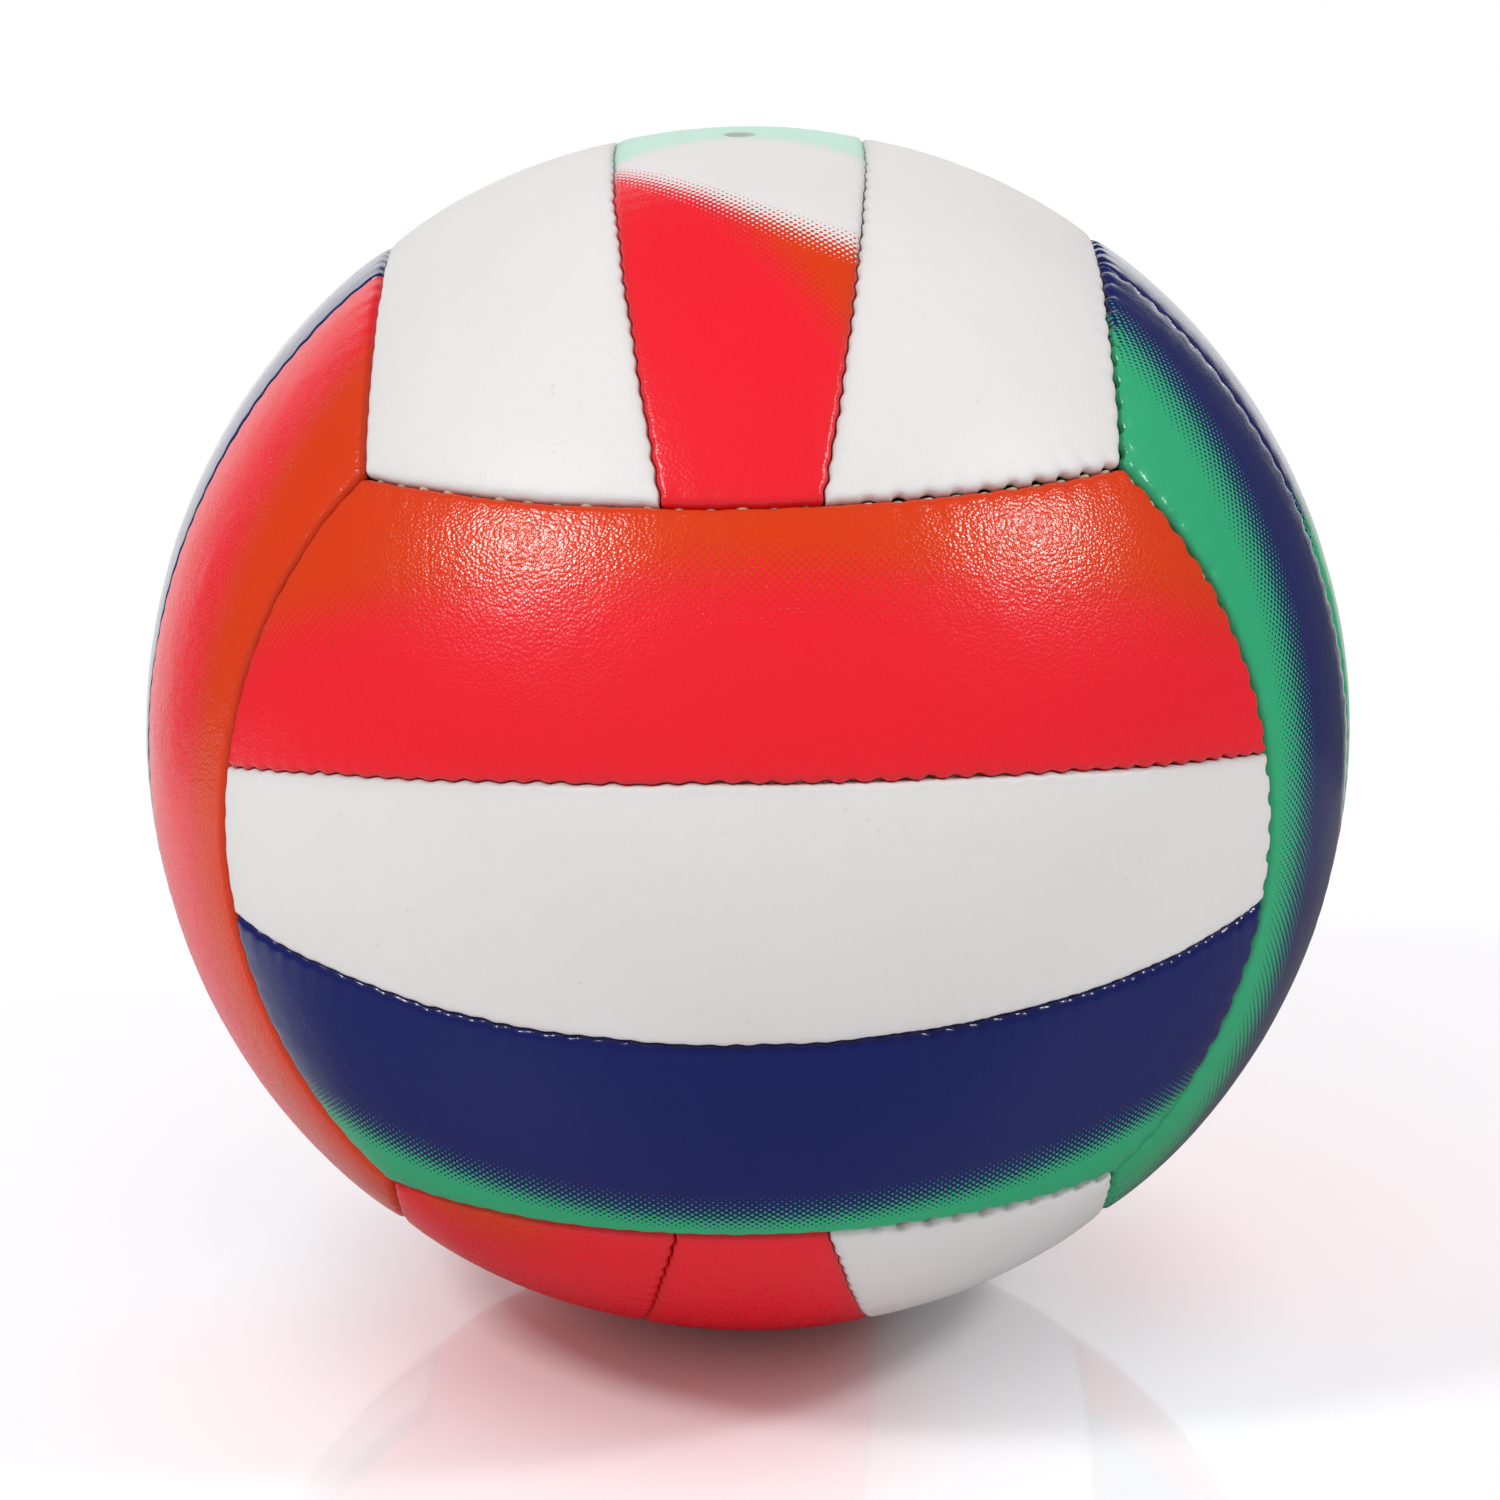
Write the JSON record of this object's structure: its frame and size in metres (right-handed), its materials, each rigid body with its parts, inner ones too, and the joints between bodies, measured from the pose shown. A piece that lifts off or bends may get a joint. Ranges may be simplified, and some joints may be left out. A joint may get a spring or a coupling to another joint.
{
  "type": "volleyball",
  "caption": "Inflatable volleyball: stitched panels of padded synthetic leather in parallel strips on each face, over a rubber bladder with a needle valve.",
  "frame": {"origin": "the ball's centre", "axes": "+Z out through the valve hole, -Y the face that looks at the viewer, +X to the viewer's right"},
  "size_m": [0.21, 0.21, 0.21],
  "materials": {
    "cover_red": "satin coated synthetic leather, red",
    "cover_orange": "satin coated synthetic leather, orange fading to red",
    "cover_white": "satin coated synthetic leather, white",
    "cover_navy": "satin coated synthetic leather, navy with a green edge",
    "cover_green": "satin coated synthetic leather, green fading to navy",
    "foam": "closed-cell foam, cream",
    "cloth": "woven cotton and polyester cloth",
    "thread": "twisted waxed thread, cream",
    "bladder": "matte butyl rubber",
    "valve_rubber": "matte moulded rubber"
  },
  "bodies": {
    "root": {"front_upper_cover": "cover_red", "front_middle_cover": "cover_white", "front_lower_cover": "cover_navy", "back_upper_cover": "cover_navy", "back_middle_cover": "cover_white", "back_lower_cover": "cover_red", "top_left_cover": "cover_white", "top_middle_cover": "cover_red", "top_right_cover": "cover_white", "bottom_left_cover": "cover_red", "bottom_middle_cover": "cover_red", "bottom_right_cover": "cover_white", "left_front_cover": "cover_orange", "left_middle_cover": "cover_white", "left_back_cover": "cover_navy", "right_front_cover": "cover_green", "right_middle_cover": "cover_navy", "right_back_cover": "cover_red", "front_upper_foam": "foam", "front_middle_foam": "foam", "front_lower_foam": "foam", "back_upper_foam": "foam", "back_middle_foam": "foam", "back_lower_foam": "foam", "top_left_foam": "foam", "top_middle_foam": "foam", "top_right_foam": "foam", "bottom_left_foam": "foam", "bottom_middle_foam": "foam", "bottom_right_foam": "foam", "left_front_foam": "foam", "left_middle_foam": "foam", "left_back_foam": "foam", "right_front_foam": "foam", "right_middle_foam": "foam", "right_back_foam": "foam", "front_upper_lining": "cloth", "front_middle_lining": "cloth", "front_lower_lining": "cloth", "back_upper_lining": "cloth", "back_middle_lining": "cloth", "back_lower_lining": "cloth", "top_left_lining": "cloth", "top_middle_lining": "cloth", "top_right_lining": "cloth", "bottom_left_lining": "cloth", "bottom_middle_lining": "cloth", "bottom_right_lining": "cloth", "left_front_lining": "cloth", "left_middle_lining": "cloth", "left_back_lining": "cloth", "right_front_lining": "cloth", "right_middle_lining": "cloth", "right_back_lining": "cloth", "bladder": "bladder", "valve_housing": "valve_rubber", "valve_core": "valve_rubber", "valve_patch": "cloth", "face_seam_thread": "thread", "strip_seam_thread": "thread"}
  },
  "joints": []
}
